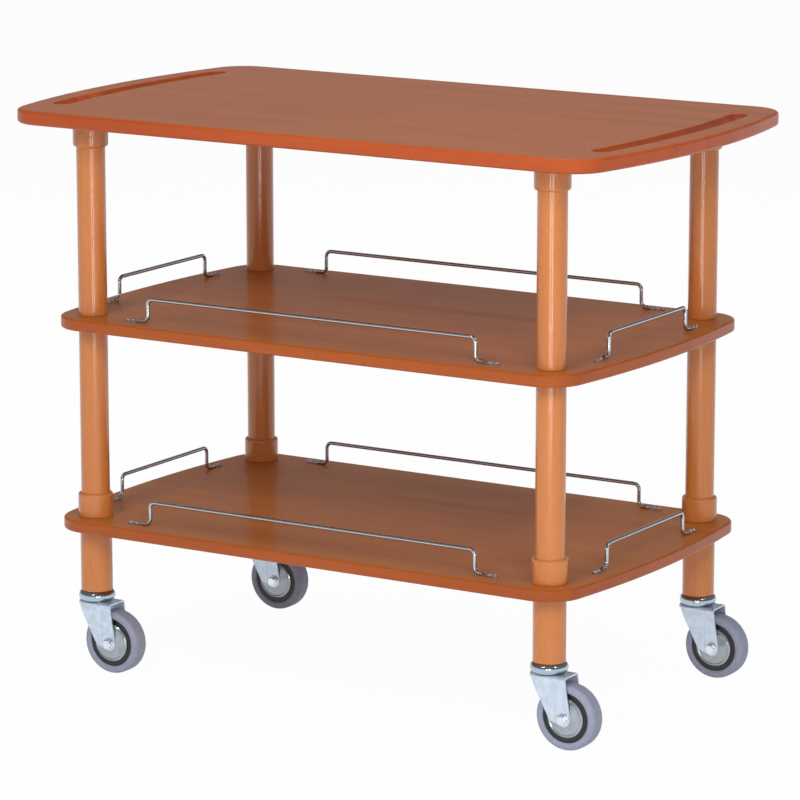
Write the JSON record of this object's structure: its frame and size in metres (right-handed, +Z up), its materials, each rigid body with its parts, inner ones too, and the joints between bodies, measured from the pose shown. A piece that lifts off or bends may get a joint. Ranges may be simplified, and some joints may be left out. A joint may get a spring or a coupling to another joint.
{
  "type": "serving cart",
  "caption": "Tiered wooden serving cart with a bow-ended, grip-grooved top, wire-railed shelves, turned posts and swivel casters.",
  "frame": {"origin": "on the floor below the middle of the cart", "axes": "+X along the cart, +Y from the front seen in the picture to the back, +Z up"},
  "size_m": [1.09, 0.64, 0.895],
  "materials": {
    "top_wood": "satin lacquer, reddish",
    "shelf_wood": "satin lacquer, red-brown",
    "post_wood": "satin lacquer, honey",
    "rail_wire": "bright plated wire",
    "caster_ring": "bright plated",
    "pressed_zinc": "bright zinc",
    "fastener_steel": "bright zinc",
    "grey_rubber": "matt grey",
    "black_plastic": "matt black"
  },
  "bodies": {
    "frame": {"top_panel": "top_wood", "middle_shelf": "shelf_wood", "bottom_shelf": "shelf_wood", "upper_post_front_left": "post_wood", "lower_post_front_left": "post_wood", "leg_front_left": "post_wood", "caster_head_front_left": "caster_ring", "upper_post_front_right": "post_wood", "lower_post_front_right": "post_wood", "leg_front_right": "post_wood", "caster_head_front_right": "caster_ring", "upper_post_back_left": "post_wood", "lower_post_back_left": "post_wood", "leg_back_left": "post_wood", "caster_head_back_left": "caster_ring", "upper_post_back_right": "post_wood", "lower_post_back_right": "post_wood", "leg_back_right": "post_wood", "caster_head_back_right": "caster_ring", "middle_front_rail": "rail_wire", "middle_back_rail": "rail_wire", "middle_left_rail": "rail_wire", "middle_right_rail": "rail_wire", "bottom_front_rail": "rail_wire", "bottom_back_rail": "rail_wire", "bottom_left_rail": "rail_wire", "bottom_right_rail": "rail_wire", "rail_screws": "fastener_steel", "post_studs": "fastener_steel", "leg_inserts": "fastener_steel", "swivel_bolts": "fastener_steel", "swivel_balls": "fastener_steel"},
    "caster_fork_front_left": {"fork_front_left": "pressed_zinc", "axle_bolt_front_left": "fastener_steel", "axle_nut_front_left": "fastener_steel", "axle_sleeve_front_left": "fastener_steel", "thread_guards_front_left": "pressed_zinc"},
    "caster_wheel_front_left": {"hub_front_left": "black_plastic", "tyre_front_left": "grey_rubber"},
    "caster_fork_front_right": {"fork_front_right": "pressed_zinc", "axle_bolt_front_right": "fastener_steel", "axle_nut_front_right": "fastener_steel", "axle_sleeve_front_right": "fastener_steel", "thread_guards_front_right": "pressed_zinc"},
    "caster_wheel_front_right": {"hub_front_right": "black_plastic", "tyre_front_right": "grey_rubber"},
    "caster_fork_back_left": {"fork_back_left": "pressed_zinc", "axle_bolt_back_left": "fastener_steel", "axle_nut_back_left": "fastener_steel", "axle_sleeve_back_left": "fastener_steel", "thread_guards_back_left": "pressed_zinc"},
    "caster_wheel_back_left": {"hub_back_left": "black_plastic", "tyre_back_left": "grey_rubber"},
    "caster_fork_back_right": {"fork_back_right": "pressed_zinc", "axle_bolt_back_right": "fastener_steel", "axle_nut_back_right": "fastener_steel", "axle_sleeve_back_right": "fastener_steel", "thread_guards_back_right": "pressed_zinc"},
    "caster_wheel_back_right": {"hub_back_right": "black_plastic", "tyre_back_right": "grey_rubber"}
  },
  "joints": [
    {"name": "swivel_front_left", "type": "hinge", "parent": "frame", "child": "caster_fork_front_left", "pos_m": [-0.4105, -0.236, 0.113], "axis": [0, 0, 1], "continuous": true},
    {"name": "roll_front_left", "type": "hinge", "parent": "caster_fork_front_left", "child": "caster_wheel_front_left", "pos_m": [-0.3755, -0.236, 0.05], "axis": [0, 1, 0], "continuous": true},
    {"name": "swivel_front_right", "type": "hinge", "parent": "frame", "child": "caster_fork_front_right", "pos_m": [0.4105, -0.236, 0.113], "axis": [0, 0, 1], "continuous": true},
    {"name": "roll_front_right", "type": "hinge", "parent": "caster_fork_front_right", "child": "caster_wheel_front_right", "pos_m": [0.4455, -0.236, 0.05], "axis": [0, 1, 0], "continuous": true},
    {"name": "swivel_back_left", "type": "hinge", "parent": "frame", "child": "caster_fork_back_left", "pos_m": [-0.4105, 0.236, 0.113], "axis": [0, 0, 1], "continuous": true},
    {"name": "roll_back_left", "type": "hinge", "parent": "caster_fork_back_left", "child": "caster_wheel_back_left", "pos_m": [-0.3755, 0.236, 0.05], "axis": [0, 1, 0], "continuous": true},
    {"name": "swivel_back_right", "type": "hinge", "parent": "frame", "child": "caster_fork_back_right", "pos_m": [0.4105, 0.236, 0.113], "axis": [0, 0, 1], "continuous": true},
    {"name": "roll_back_right", "type": "hinge", "parent": "caster_fork_back_right", "child": "caster_wheel_back_right", "pos_m": [0.4455, 0.236, 0.05], "axis": [0, 1, 0], "continuous": true}
  ]
}
